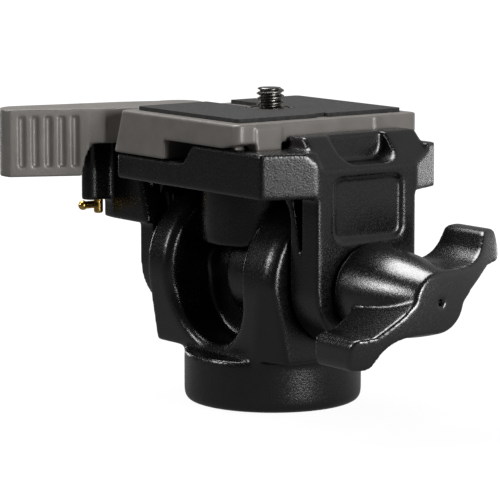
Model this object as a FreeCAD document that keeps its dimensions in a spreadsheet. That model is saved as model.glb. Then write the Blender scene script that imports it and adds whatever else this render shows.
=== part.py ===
import FreeCAD, Part
import math
import os
import Sketcher

# Monopod tilt head: a forked base under a head that tilts on a cross bolt, locked by a wing knob,
# with a quick-release camera plate on top. +X points to the knob, +Z up, origin under the base.

document = FreeCAD.newDocument("tilt_head")
sheet = document.addObject("Spreadsheet::Sheet", "sizes")


class Measure:
    """A length that knows both its number and its formula in the sheet."""

    def __init__(self, value, text):
        self.value = value
        self.text = text

    def __add__(self, other):
        other = measure(other)
        return Measure(self.value + other.value, f"({self.text} + {other.text})")

    def __sub__(self, other):
        other = measure(other)
        return Measure(self.value - other.value, f"({self.text} - {other.text})")

    def __mul__(self, other):
        other = measure(other)
        return Measure(self.value * other.value, f"({self.text} * {other.text})")

    def __truediv__(self, other):
        other = measure(other)
        return Measure(self.value / other.value, f"({self.text} / {other.text})")

    def __radd__(self, other):
        return measure(other) + self

    def __rsub__(self, other):
        return measure(other) - self

    def __rmul__(self, other):
        return measure(other) * self

    def __neg__(self):
        return Measure(-self.value, f"(0 - {self.text})")

    def __float__(self):
        return float(self.value)


def measure(number):
    """Accept a plain number where a Measure is wanted."""
    if isinstance(number, Measure):
        return number
    return Measure(float(number), repr(float(number)) if number >= 0 else f"(0 - {-float(number)!r})")


def root(number):
    """Square root of a Measure."""
    return Measure(math.sqrt(number.value), f"sqrt({number.text})")


sheet_rows = []


def size(name, value):
    """Write one driving dimension to the sheet and hand it back as a Measure."""
    sheet_rows.append(name)
    row = len(sheet_rows)
    sheet.set(f"A{row}", name)
    sheet.set(f"B{row}", str(value))
    sheet.setAlias(f"B{row}", name)
    return Measure(float(sheet.getContents(f"B{row}")), f"sizes.{name}")


def bind(item, field, amount):
    """Bind one property of a feature to a formula of the sheet."""
    item.setExpression(field, measure(amount).text)


sub_parts = []
cuts = []


def new_body(label):
    """Start one sub-part."""
    body = document.addObject("PartDesign::Body", label)
    body.Label = label
    body.Placement = FreeCAD.Placement()
    sub_parts.append(body)
    return body


def new_sketch(body, name, plane, along=0, shift=(0, 0)):
    """Lay a sketch on one of the body's own planes, moved along its normal and across it."""
    sketch = body.newObject("Sketcher::SketchObject", name)
    for feature in body.Origin.OriginFeatures:
        if feature.Role == plane:
            sketch.AttachmentSupport = (feature, [""])
    sketch.MapMode = "FlatFace"
    bind(sketch, "AttachmentOffset.Base.x", shift[0])
    bind(sketch, "AttachmentOffset.Base.y", shift[1])
    bind(sketch, "AttachmentOffset.Base.z", along)
    return sketch


def arc_between(start, end, radius):
    """Minor arc from start to end; its centre is to the left of the way for a positive radius."""
    middle = (start + end) * 0.5
    way = end - start
    reach = math.sqrt(max(radius * radius - way.Length * way.Length / 4, 0))
    left = FreeCAD.Vector(-way.y, way.x, 0).normalize()
    centre = middle + left * math.copysign(reach, radius)
    first, last = (start, end) if radius > 0 else (end, start)
    circle = Part.Circle(centre, FreeCAD.Vector(0, 0, 1), abs(radius))
    angles = [math.atan2(point.y - centre.y, point.x - centre.x) for point in (first, last)]
    return Part.ArcOfCircle(circle, angles[0], angles[1])


class Drawing:
    """The lines, arcs and dimensions of one sketch, gathered first and added together."""

    def __init__(self):
        self.items = []
        self.dimensions = []
        self.joints = []

    def hold(self, item, vertex, across, up):
        """Hold one vertex at its distances from the sketch's origin."""
        self.dimensions.append((("DistanceX", -1, 1, item, vertex), measure(across)))
        self.dimensions.append((("DistanceY", -1, 1, item, vertex), measure(up)))

    def circle(self, across, up, radius):
        """Draw one full circle."""
        centre = FreeCAD.Vector(float(measure(across)), float(measure(up)), 0)
        self.items.append(Part.Circle(centre, FreeCAD.Vector(0, 0, 1), float(measure(radius))))
        item = len(self.items) - 1
        self.hold(item, 3, across, up)
        self.dimensions.append((("Radius", item), measure(radius)))

    def outline(self, corners):
        """Draw a closed outline. A corner is (across, up), or (across, up, radius) where an arc leads on."""
        points = [FreeCAD.Vector(float(measure(corner[0])), float(measure(corner[1])), 0) for corner in corners]
        ends = []
        for number, corner in enumerate(corners):
            start = points[number]
            end = points[(number + 1) % len(points)]
            item = len(self.items)
            vertices = (1, 2)
            if len(corner) == 3:
                radius = measure(corner[2])
                self.items.append(arc_between(start, end, radius.value))
                if radius.value < 0:
                    radius = -radius
                    vertices = (2, 1)
                self.dimensions.append((("Radius", item), radius))
            else:
                self.items.append(Part.LineSegment(start, end))
            self.hold(item, vertices[0], corner[0], corner[1])
            ends.append((item, vertices))
        for number, (item, vertices) in enumerate(ends):
            following, its_vertices = ends[(number + 1) % len(ends)]
            self.joints.append(("Coincident", item, vertices[1], following, its_vertices[0]))


def draw(sketch, shapes):
    """Draw circles, given as ("circle", across, up, radius), and closed outlines."""
    drawing = Drawing()
    for shape in shapes:
        if shape[0] == "circle":
            drawing.circle(shape[1], shape[2], shape[3])
        else:
            drawing.outline(shape)
    sketch.addGeometry(drawing.items, False)
    constraints = [Sketcher.Constraint(*place, amount.value) for place, amount in drawing.dimensions]
    constraints += [Sketcher.Constraint(*place) for place in drawing.joints]
    sketch.addConstraint(constraints)
    for index, (place, amount) in enumerate(drawing.dimensions):
        sketch.setExpression(f"Constraints[{index}]", amount.text)


def prism(body, name, kind, plane, shapes, low, high, taper=None):
    """Pad or pocket between two levels of the world axis that is square to the plane."""
    level = -measure(high) if plane == "XZ_Plane" else measure(low)
    sketch = new_sketch(body, f"{name}_outline", plane, level)
    draw(sketch, shapes)
    feature = body.newObject(f"PartDesign::{kind}", name)
    feature.Profile = sketch
    bind(feature, "Length", measure(high) - measure(low))
    feature.Reversed = kind == "Pocket"
    if taper is not None:
        bind(feature, "TaperAngle", taper)
    if kind == "Pocket":
        cuts.append(feature)
    return feature


def pad(body, name, plane, shapes, low, high, taper=None):
    """Add material between two levels."""
    return prism(body, name, "Pad", plane, shapes, low, high, taper)


def pocket(body, name, plane, shapes, low, high, taper=None):
    """Cut material away between two levels."""
    return prism(body, name, "Pocket", plane, shapes, low, high, taper)


def between(body, name, levels):
    """Cut away what lies between two outlines at different heights."""
    sketches = []
    for number, (height, corners) in enumerate(levels):
        sketch = new_sketch(body, f"{name}_outline_{number + 1}", "XY_Plane", height)
        draw(sketch, [corners])
        sketches.append(sketch)
    feature = body.newObject("PartDesign::SubtractiveLoft", name)
    feature.Profile = sketches[0]
    feature.Sections = [(sketches[1], [""])]
    feature.Ruled = True
    cuts.append(feature)
    return feature


def turned(body, name, axis, shapes, centre=(0, 0), kind="Revolution", sweep=360):
    """Turn a profile about an X axis, as (along, radius), or about a Z axis, as (radius, height)."""
    shift = (0, centre[1]) if axis == "X" else (centre[0], 0)
    level = -measure(centre[0]) if axis == "X" else -measure(centre[1])
    sketch = new_sketch(body, f"{name}_outline", "XZ_Plane", level, shift)
    draw(sketch, shapes)
    feature = body.newObject(f"PartDesign::{kind}", name)
    feature.Profile = sketch
    feature.ReferenceAxis = (sketch, ["H_Axis" if axis == "X" else "V_Axis"])
    feature.Angle = sweep
    feature.Midplane = True
    if kind == "Groove":
        cuts.append(feature)
    return feature


def rectangle(left, right, low, high):
    """Corners of a rectangle."""
    return [(left, low), (right, low), (right, high), (left, high)]


def rounded_rectangle(left, right, low, high, radius):
    """Corners of a rectangle with four quarter-round corners."""
    left, right, low, high = measure(left), measure(right), measure(low), measure(high)
    return [
        (left + radius, low), (right - radius, low, radius),
        (right, low + radius), (right, high - radius, radius),
        (right - radius, high), (left + radius, high, radius),
        (left, high - radius), (left, low + radius, radius),
    ]


def obround(left, right, low, high):
    """A slot outline with half-round ends at its low and high ends."""
    left, right, low, high = measure(left), measure(right), measure(low), measure(high)
    radius = (right - left) / 2
    middle = (left + right) / 2
    return [
        (left, low + radius, radius), (middle, low, radius),
        (right, low + radius), (right, high - radius, radius),
        (middle, high, radius), (left, high - radius),
    ]


def tube(inner, outer, low, high):
    """Profile of a plain ring as (radius, height)."""
    return rectangle(inner, outer, low, high)


def ring_along(inner, outer, start, end):
    """Profile of a plain ring on an X axis as (along, radius)."""
    return rectangle(start, end, inner, outer)


def edges_where(feature, test):
    """Names of the edges whose middle and end points all pass the test."""
    names = []
    for number, edge in enumerate(feature.Shape.Edges):
        first, last = edge.ParameterRange
        points = [edge.valueAt(first + (last - first) * share) for share in (0.02, 0.25, 0.5, 0.75, 0.98)]
        if all(test(point) for point in points):
            names.append(f"Edge{number + 1}")
    return names


def fillet(body, name, feature, names, radius):
    """Round the named edges of a feature."""
    rounding = body.newObject("PartDesign::Fillet", name)
    rounding.Base = (feature, names)
    bind(rounding, "Radius", radius)
    return rounding


def bevel(body, name, feature, names, width):
    """Bevel the named edges of a feature at the same width on both sides."""
    cut = body.newObject("PartDesign::Chamfer", name)
    cut.Base = (feature, names)
    bind(cut, "Size", width)
    return cut


def above_pivot(name, rise):
    """A height on the head, measured up from the pivot's axis."""
    return pivot_height + size(name, rise)


# Clearances that the fits share.
running_gap = size("running_gap", 0.05)
press_gap = size("press_gap", 0.02)
face_gap = size("face_gap", 0.1)
overshoot = size("overshoot", 2)

# The cross bolt and the base fork.
pivot_height = size("pivot_height", 30.2)
bolt_radius = size("bolt_radius", 4.0)
base_radius = size("base_radius", 20.6)
base_height = size("base_height", 12.0)
base_edge_round = size("base_edge_round", 1.8)
arm_left = size("arm_left", 24.8)
arm_right = size("arm_right", 23.8)
lug_radius = size("lug_radius", 18.4)
foot_half_width = size("foot_half_width", 15.7)
scoop_offset = size("scoop_offset", 2.65)
scoop_radius = size("scoop_radius", 13.65)
scoop_floor = base_height + size("scoop_floor_rise", 2.2)
scoop_rim_width = size("scoop_rim_width", 1.5)
drum_radius = size("drum_radius", 12.3)
drum_left = size("drum_left", 3.5)
drum_edge_round = size("drum_edge_round", 3.0)
drum_root_round = size("drum_root_round", 2.0)
slim_drum_radius = size("slim_drum_radius", 6.4)
web_half_thickness = size("web_half_thickness", 6.0)
bush_radius = size("bush_radius", 5.5)
bush_length = size("bush_length", 8.0)
stud_minor_radius = size("stud_minor_radius", 4.0)
insert_radius = size("insert_radius", 6.5)
insert_length = size("insert_length", 11.0)
underside_recess_inner = size("underside_recess_inner", 9.5)
underside_recess_outer = size("underside_recess_outer", 16.5)
underside_recess_depth = size("underside_recess_depth", 1.2)

scoop_left = -scoop_offset - scoop_radius
scoop_right = -scoop_offset + scoop_radius
scoop_round_height = scoop_floor + scoop_radius


def make_base_casting():
    """The base: a socket collar, the fork block with its round lug, scoops front and back, and a drum."""
    body = new_body("base_casting")
    # The sides of the block run from the foot tangent to the lug.
    drop = pivot_height - base_height
    span = foot_half_width * foot_half_width + drop * drop
    square = lug_radius * lug_radius
    twist = lug_radius * root(span - square)
    touch_side = (square * foot_half_width + twist * drop) / span
    touch_height = pivot_height + (twist * foot_half_width - square * drop) / span
    pad(body, "fork_block", "YZ_Plane", [[
        (-foot_half_width, base_height), (foot_half_width, base_height),
        (touch_side, touch_height, lug_radius), (0, pivot_height + lug_radius, lug_radius),
        (-touch_side, touch_height),
    ]], -arm_left, arm_right)
    # On the knob side the block's corners are cut by facets that lean out towards the lug.
    facet_start = size("facet_start", 13.4)
    facet_turn = size("facet_turn", 0.22)
    facet_lean = size("facet_lean", 0.232)
    facet_height = size("facet_height", 24.0)
    facet_end = arm_right + overshoot
    across = (facet_end - facet_start) * facet_turn
    for side, sign in (("front", -1), ("back", 1)):
        levels = []
        for height in (measure(0), facet_height):
            near = foot_half_width + height * facet_lean
            levels.append((base_height + height, [
                (facet_start, sign * near), (facet_end, sign * (near - across)),
                (facet_end, sign * (near + facet_start)), (facet_start, sign * (near + facet_start)),
            ]))
        between(body, f"{side}_facet", levels)
    # The rim of the lug is bevelled over its top on the knob side.
    rim_width = size("lug_rim_width", 2.6)
    rim_drop = size("lug_rim_drop", 1.1)
    turned(body, "lug_rim", "X", [[
        (arm_right - rim_width, lug_radius), (arm_right, lug_radius - rim_drop),
        (arm_right + overshoot, lug_radius - rim_drop), (arm_right + overshoot, lug_radius + overshoot),
        (arm_right - rim_width, lug_radius + overshoot),
    ]], centre=(0, pivot_height), kind="Groove", sweep=180)
    # The collar's lower edge is rounded by two bevels that meet halfway round.
    edge_step = base_edge_round - root(base_edge_round * base_edge_round / 2)
    turned(body, "collar", "Z", [[
        (0, 0), (base_radius - base_edge_round, 0), (base_radius - edge_step, edge_step),
        (base_radius, base_edge_round), (base_radius, base_height), (0, base_height),
    ]])
    scoop_top = pivot_height + lug_radius + overshoot
    scoop = pocket(body, "scoop", "XZ_Plane", [[
        (scoop_left, scoop_top), (scoop_left, scoop_round_height, scoop_radius),
        (-scoop_offset, scoop_floor, scoop_radius), (scoop_right, scoop_round_height),
        (scoop_right, scoop_top),
    ]], -lug_radius - overshoot, lug_radius + overshoot)
    document.recompute()

    def on_scoop_rim(point):
        """True on the edges where the scoop breaks through the block's outside."""
        across = abs(point.x + float(scoop_offset))
        below = max(float(scoop_round_height) - point.z, 0)
        away = math.hypot(across, below)
        return abs(away - float(scoop_radius)) < 0.01 and (abs(point.y) > 1 or point.z > float(pivot_height))

    bevel(body, "scoop_rims", scoop, edges_where(scoop, on_scoop_rim), scoop_rim_width)
    # The drum round the bolt is thicker on the knob side, and its free end is rounded.
    pad(body, "slim_drum", "YZ_Plane", [("circle", 0, pivot_height, slim_drum_radius)],
        scoop_left - overshoot, -drum_left + drum_edge_round)
    turned(body, "drum", "X", [[
        (-drum_left, 0), (scoop_right + overshoot, 0), (scoop_right + overshoot, drum_radius + drum_root_round),
        (scoop_right, drum_radius + drum_root_round, -drum_root_round),
        (scoop_right - drum_root_round, drum_radius), (-drum_left + drum_edge_round, drum_radius, drum_edge_round),
        (-drum_left, drum_radius - drum_edge_round),
    ]], centre=(0, pivot_height))
    pad(body, "web", "YZ_Plane", [rectangle(-web_half_thickness, web_half_thickness, base_height, pivot_height)],
        scoop_left - overshoot, scoop_right + overshoot)
    bore = bolt_radius + size("bore_room", 0.6)
    pocket(body, "cross_bore", "YZ_Plane", [("circle", 0, pivot_height, bore)], -arm_left, arm_right)
    seat = ("circle", 0, pivot_height, bush_radius + press_gap)
    pocket(body, "left_bush_seat", "YZ_Plane", [seat], -arm_left, -arm_left + bush_length)
    pocket(body, "right_bush_seat", "YZ_Plane", [seat], arm_right - bush_length, arm_right)
    pocket(body, "socket", "XY_Plane", [("circle", 0, 0, insert_radius + press_gap)],
           0, insert_length + face_gap)
    pocket(body, "underside_recess", "XY_Plane", [
        ("circle", 0, 0, underside_recess_inner), ("circle", 0, 0, underside_recess_outer),
    ], 0, underside_recess_depth)


def make_base_fittings():
    """The threaded insert in the socket and the bushes at both ends of the cross bore."""
    insert = new_body("socket_insert")
    turned(insert, "insert", "Z", [tube(stud_minor_radius, insert_radius, 0, insert_length)])
    for side, start in (("left", -arm_left), ("right", arm_right - bush_length)):
        bush = new_body(f"bolt_bush_{side}")
        turned(bush, "bush", "X", [ring_along(bolt_radius + running_gap, bush_radius, start, start + bush_length)],
               centre=(0, pivot_height))


# The head casting: deck, ears, belly, jaw and the lever's housing.
ear_gap = size("ear_gap", 1.0)
ear_radius = size("ear_radius", 14.0)
knob_ear_outer = size("knob_ear_outer", 35.0)
bolt_ear_outer = size("bolt_ear_outer", 34.0)
ear_root_round = size("ear_root_round", 6.0)
deck_under = above_pivot("deck_under_rise", 21.0)
deck_floor = above_pivot("deck_floor_rise", 26.8)
deck_wall_top = above_pivot("deck_wall_top_rise", 31.2)
deck_front = size("deck_front", 26.0)
deck_back = size("deck_back", 22.5)
deck_corner_x = size("deck_corner_x", 29.8)
deck_corner_y = size("deck_corner_y", 14.0)
deck_back_corner_x = size("deck_back_corner_x", 31.3)
wall_thickness = size("wall_thickness", 2.2)
wall_slope_foot = size("wall_slope_foot", 0.2)
wall_slope_run = size("wall_slope_run", 3.7)
jaw_foot_x = size("jaw_foot_x", 20.4)
jaw_lip_x = size("jaw_lip_x", 17.9)
jaw_step_x = size("jaw_step_x", 22.9)
jaw_top = above_pivot("jaw_top_rise", 34.1)
jaw_slope_x = size("jaw_slope_x", 28.3)
jaw_slope_foot = above_pivot("jaw_slope_foot_rise", 27.3)
jaw_front = size("jaw_front", 13.0)
jaw_back = size("jaw_back", 19.0)
knob_ear_inner = arm_right + ear_gap
bolt_ear_inner = arm_left + ear_gap
deck_left = bolt_ear_inner + size("deck_lip", 0.2)

belly_half_width = size("belly_half_width", 12.95)
belly_half_length = size("belly_half_length", 15.2)
belly_under = pivot_height + size("belly_rise", 6.8)
saddle_radius = drum_radius + size("saddle_gap", 1.0)
saddle_top = pivot_height + saddle_radius
belly_draft = size("belly_draft", 1.5)

plunger_x = size("plunger_x", 11.0)
plunger_radius = size("plunger_radius", 2.4)
plunger_travel = size("plunger_travel", 2.2)
plunger_collar_radius = size("plunger_collar_radius", 3.7)
plunger_collar_height = size("plunger_collar_height", 1.5)
well_radius = size("well_radius", 4.0)
well_top = above_pivot("well_top_rise", 22.8)
plug_thickness = size("plug_thickness", 1.6)

lever_x = size("lever_x", 33.6)
lever_y = size("lever_y", 3.0)
housing_top = above_pivot("housing_top_rise", 28.1)
housing_under = above_pivot("housing_under_rise", 9.1)
housing_left = size("housing_left", 45.7)
housing_edge = size("housing_edge", 41.0)
housing_right = size("housing_right", 26.6)
housing_neck = size("housing_neck", 29.9)
housing_rise = size("housing_rise", 27.8)
housing_front = size("housing_front", 17.0)
housing_back = size("housing_back", 9.0)
housing_corner_round = size("housing_corner_round", 1.0)
lobe_left = size("lobe_left", 45.7)
lobe_right = size("lobe_right", 40.9)
lobe_front = size("lobe_front", 23.9)
lobe_under = above_pivot("lobe_under_rise", 13.8)

lever_pin_radius = size("lever_pin_radius", 2.5)
lever_screw_head_radius = size("lever_screw_head_radius", 4.2)
lever_screw_head_height = size("lever_screw_head_height", 3.0)
lever_well_radius = size("lever_well_radius", 5.2)
lever_well_depth = size("lever_well_depth", 8.5)

head_height = size("hex_head_height", 5.3)
hex_half_flats = size("hex_half_flats", 6.5)
hex_gap = size("hex_gap", 0.15)

catch_x = size("catch_x", 43.3)
catch_y = size("catch_y", 19.6)
catch_stem_radius = size("catch_stem_radius", 1.1)
catch_bush_radius = size("catch_bush_radius", 1.7)
catch_bush_length = size("catch_bush_length", 6.0)

# Gap to the base's lug, the core-outs of the ears, and the lug of the plate with its notch.
lug_gap = size("lug_gap", 0.4)
groove_wall = size("groove_wall", 0.6)
groove_width = size("groove_width", 4.2)
groove_foot = above_pivot("groove_foot_rise", 4.6)
groove_depth = size("groove_depth", 4.0)
rebate_width = size("rebate_width", 2.9)
rebate_foot = above_pivot("rebate_foot_rise", 6.8)

lug_room = size("lug_room", 0.4)
plate_lug_x = size("plate_lug_x", 20.2)
plate_lug_front = size("plate_lug_front", 21.3)
plate_lug_back = size("plate_lug_back", 14.2)
plate_lug_under = above_pivot("plate_lug_under_rise", 30.7)


def ear_outline():
    """An ear seen along the bolt: straight sides and a half-round foot."""
    return [
        (-ear_radius, deck_under + overshoot), (-ear_radius, pivot_height, ear_radius),
        (0, pivot_height - ear_radius, ear_radius), (ear_radius, pivot_height),
        (ear_radius, deck_under + overshoot),
    ]


def hexagon(half_flats):
    """A hexagon round the bolt's axis with two flats upright."""
    side = half_flats * 2 / math.sqrt(3)
    return [
        (-half_flats, pivot_height - side / 2), (0, pivot_height - side),
        (half_flats, pivot_height - side / 2), (half_flats, pivot_height + side / 2),
        (0, pivot_height + side), (-half_flats, pivot_height + side / 2),
    ]


def make_head_casting():
    """The head: one casting that carries the ears below and the plate's jaw above."""
    body = new_body("head_casting")
    pad(body, "deck", "XY_Plane", [[
        (-deck_left, -deck_front), (deck_corner_x, -deck_front), (knob_ear_outer, -deck_corner_y),
        (knob_ear_outer, deck_corner_y), (deck_back_corner_x, deck_back), (-deck_left, deck_back),
    ]], deck_under, deck_wall_top)
    # The top is cut to the plate's bay: open on the lever's side, a ramp up, and a wall front and back.
    pocket(body, "open_side", "XZ_Plane", [[
        (-deck_left - overshoot, deck_floor), (wall_slope_foot, deck_floor),
        (wall_slope_foot + wall_slope_run, deck_wall_top), (-deck_left - overshoot, deck_wall_top),
    ]], -deck_front - overshoot, deck_back + overshoot)
    pocket(body, "plate_bay", "XZ_Plane", [[
        (wall_slope_foot, deck_floor), (jaw_foot_x, deck_floor),
        (jaw_lip_x, deck_wall_top), (wall_slope_foot, deck_wall_top),
    ]], -deck_front + wall_thickness, deck_back - wall_thickness)
    slope = (knob_ear_outer - jaw_slope_x) / (jaw_top - jaw_slope_foot)
    pad(body, "jaw", "XZ_Plane", [[
        (jaw_step_x, deck_wall_top), (jaw_slope_x + (jaw_top - deck_wall_top) * slope, deck_wall_top),
        (jaw_slope_x, jaw_top), (jaw_step_x, jaw_top),
    ]], -jaw_front, jaw_back)
    pocket(body, "jaw_slope", "XZ_Plane", [[
        (knob_ear_outer, jaw_slope_foot), (knob_ear_outer + overshoot, jaw_slope_foot),
        (knob_ear_outer + overshoot, jaw_top), (jaw_slope_x, jaw_top),
    ]], -jaw_front, jaw_back)
    # Thumb pocket in the jaw's slope.
    thumb_left = size("thumb_left", 5.8)
    thumb_right = size("thumb_right", 9.8)
    thumb_floor = above_pivot("thumb_floor_rise", 27.8)
    thumb_back = size("thumb_back", 27.5)
    thumb_round = size("thumb_round", 3.5)
    pocket(body, "thumb_pocket", "YZ_Plane", [[
        (-thumb_left, jaw_top + overshoot), (-thumb_left, thumb_floor + thumb_round, thumb_round),
        (-thumb_left + thumb_round, thumb_floor), (thumb_right - thumb_round, thumb_floor, thumb_round),
        (thumb_right, thumb_floor + thumb_round), (thumb_right, jaw_top + overshoot),
    ]], thumb_back, knob_ear_outer + overshoot)
    # The deck's top edge above the knob is bevelled steeply.
    edge_run = size("deck_edge_run", 1.2)
    edge_drop = size("deck_edge_drop", 2.8)
    pocket(body, "deck_edge", "XZ_Plane", [[
        (knob_ear_outer, deck_wall_top - edge_drop), (knob_ear_outer + overshoot, deck_wall_top - edge_drop),
        (knob_ear_outer + overshoot, deck_wall_top), (knob_ear_outer - edge_run, deck_wall_top),
    ]], -deck_front, deck_back)
    # Notch for the lug of the plate.
    pocket(body, "lug_notch", "XY_Plane", [rectangle(plate_lug_x - lug_room, jaw_step_x,
           -plate_lug_front - lug_room, -plate_lug_back + lug_room)], plate_lug_under - lug_room, deck_wall_top)
    # Belly under the deck, which straddles the drum and swings into the scoops of the base at full tilt.
    pad(body, "belly", "XY_Plane", [obround(-scoop_offset - belly_half_width, -scoop_offset + belly_half_width,
        -belly_half_length, belly_half_length)], belly_under, deck_under, taper=belly_draft)
    pocket(body, "saddle", "YZ_Plane", [("circle", 0, pivot_height, saddle_radius)], scoop_left, scoop_right)
    # Ears, with a round root where they join the deck, cut back to clear the lug of the base.
    pad(body, "knob_ear", "YZ_Plane", [ear_outline()], knob_ear_inner, knob_ear_outer)
    pad(body, "bolt_ear", "YZ_Plane", [ear_outline()], -bolt_ear_outer, -bolt_ear_inner)
    for side, inner, bend in (("knob", knob_ear_inner, ear_root_round), ("bolt", -bolt_ear_inner, -ear_root_round)):
        pad(body, f"{side}_ear_root", "XZ_Plane", [[
            (inner, deck_under - ear_root_round, bend), (inner - bend, deck_under), (inner, deck_under),
        ]], -ear_radius, ear_radius)
    clearance = [("circle", 0, pivot_height, lug_radius + lug_gap)]
    pocket(body, "knob_ear_clearance", "YZ_Plane", clearance, arm_right - ear_root_round, knob_ear_inner)
    pocket(body, "bolt_ear_clearance", "YZ_Plane", clearance, -bolt_ear_inner, -arm_left + ear_root_round)
    # Tapered core-outs in the edges of the knob's ear, and open rebates in those of the bolt's ear.
    knob_corner = [
        (knob_ear_inner + groove_wall, deck_under), (knob_ear_inner + groove_width, deck_under),
        (knob_ear_inner + groove_width, groove_foot),
    ]
    bolt_corner = [
        (-bolt_ear_inner, deck_under), (-bolt_ear_inner - rebate_width, deck_under),
        (-bolt_ear_inner - rebate_width, rebate_foot), (-bolt_ear_inner, rebate_foot),
    ]
    for side, low, high in (("front", -ear_radius, -ear_radius + groove_depth),
                            ("back", ear_radius - groove_depth, ear_radius)):
        pocket(body, f"knob_{side}_groove", "XZ_Plane", [knob_corner], low, high)
        pocket(body, f"bolt_{side}_rebate", "XZ_Plane", [bolt_corner], low, high)
    # Bare recess on the knob side and the hexagon recess that holds the bolt's head.
    panel_front = size("panel_front", 9.3)
    panel_back = size("panel_back", 10.1)
    panel_low = above_pivot("panel_low_rise", 11.1)
    panel_high = above_pivot("panel_high_rise", 25.1)
    panel_depth = size("panel_depth", 0.9)
    panel_round = size("panel_round", 2.5)
    pocket(body, "panel", "YZ_Plane", [rounded_rectangle(-panel_front, panel_back, panel_low,
           panel_high, panel_round)], knob_ear_outer - panel_depth, knob_ear_outer)
    pocket(body, "bolt_hole", "YZ_Plane", [("circle", 0, pivot_height, bolt_radius + press_gap)],
           -bolt_ear_outer, knob_ear_outer)
    pocket(body, "hex_recess", "YZ_Plane", [hexagon(hex_half_flats + hex_gap)],
           -bolt_ear_outer, -bolt_ear_outer + head_height + hex_gap)
    # Housing of the lever's pivot, with a lobe in front that carries the catch.
    pad(body, "housing", "XZ_Plane", [[
        (-housing_left, housing_under), (-housing_right - housing_corner_round, housing_under, housing_corner_round),
        (-housing_right, housing_under + housing_corner_round), (-housing_neck, deck_under),
        (overshoot - deck_left, deck_under), (overshoot - deck_left, deck_floor), (-housing_rise, deck_floor),
        (-housing_rise, housing_top), (-housing_left, housing_top),
    ]], -housing_front, housing_back)
    pocket(body, "housing_corner", "XY_Plane", [[
        (-housing_left, -housing_front), (-housing_edge, -housing_front),
        (-housing_left, -housing_front + size("housing_corner_depth", 0.6)),
    ]], housing_under, housing_top)
    pad(body, "lobe", "XY_Plane", [obround(-lobe_left, -lobe_right, -lobe_front, -housing_front + (lobe_left - lobe_right))],
        lobe_under, housing_top)
    pocket(body, "lever_well", "XY_Plane", [("circle", -lever_x, -lever_y, lever_well_radius)],
           housing_top - lever_well_depth, housing_top)
    pocket(body, "lever_pin_hole", "XY_Plane", [("circle", -lever_x, -lever_y, lever_pin_radius + press_gap)],
           housing_under, housing_top)
    pocket(body, "lever_screw_seat", "XY_Plane",
           [("circle", -lever_x, -lever_y, lever_screw_head_radius + face_gap)],
           housing_under, housing_under + lever_screw_head_height + face_gap)
    pocket(body, "catch_hole", "XY_Plane", [("circle", -catch_x, -catch_y, catch_bush_radius + press_gap)],
           lobe_under, lobe_under + catch_bush_length)
    # Well of the plunger, bored from the underside of the belly.
    pocket(body, "plunger_bore", "XY_Plane", [("circle", -plunger_x, 0, plunger_radius + running_gap)],
           well_top, deck_floor)
    pocket(body, "plunger_well", "XY_Plane", [("circle", -plunger_x, 0, well_radius)], belly_under, well_top)


def make_head_fittings():
    """What the cross bolt clamps: discs, the bolt itself and the washer under the knob."""
    disc_radius = size("disc_radius", 12.0)
    for side, start in (("left", -bolt_ear_inner), ("right", arm_right + face_gap)):
        disc = new_body(f"friction_disc_{side}")
        turned(disc, "disc", "X", [ring_along(bolt_radius + press_gap, disc_radius, start, start + ear_gap - face_gap)],
               centre=(0, pivot_height))
    bolt = new_body("pivot_bolt")
    head_start = -bolt_ear_outer + hex_gap
    pad(bolt, "hex_head", "YZ_Plane", [hexagon(hex_half_flats)], head_start, head_start + head_height)
    pad(bolt, "shank", "YZ_Plane", [("circle", 0, pivot_height, bolt_radius)],
        head_start + head_height, knob_back + knob_insert_length)
    washer = new_body("knob_washer")
    washer_radius = size("washer_radius", 9.0)
    turned(washer, "washer", "X", [ring_along(bolt_radius + face_gap, washer_radius,
           knob_ear_outer, knob_back - face_gap)], centre=(0, pivot_height))


# The wing knob.
knob_back = knob_ear_outer + size("knob_washer_thickness", 1.0)
knob_hub_radius = size("knob_hub_radius", 10.3)
knob_neck_radius = size("knob_neck_radius", 6.6)
knob_face = knob_back + size("knob_length", 24.8)
knob_arch = size("knob_arch", 4.5)
knob_wing_reach = size("knob_wing_reach", 20.8)
wing_back = knob_back + size("knob_bare_hub", 6.5)
knob_insert_length = size("knob_insert_length", 14.0)
knob_insert_radius = size("knob_insert_radius", 6.0)
gate_radius = size("gate_radius", 0.75)


def wing_half(sign):
    """Half of the knob's outline round the bolt's axis, drawn for a reach of 20.8; the other half is turned over."""
    points = [
        (3.4, -4.5), (9.0, 1.6), (15.8, 6.5), (18.6, 6.7, 2.2), (20.8, 8.9), (20.8, 12.3, 1.8), (19.0, 14.1),
        (16.9, 13.9, 1.8), (15.4, 12.8), (13.8, 10.1, -9.0), (8.0, 7.1), (5.6, 6.9), (-0.6, 6.9, 3.4),
    ]
    share = knob_wing_reach / 20.8
    outline = []
    for point in points:
        corner = [share * (sign * point[0]), pivot_height + share * (sign * point[1])]
        if len(point) == 3:
            corner.append(share * point[2])
        outline.append(tuple(corner))
    return outline


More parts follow.
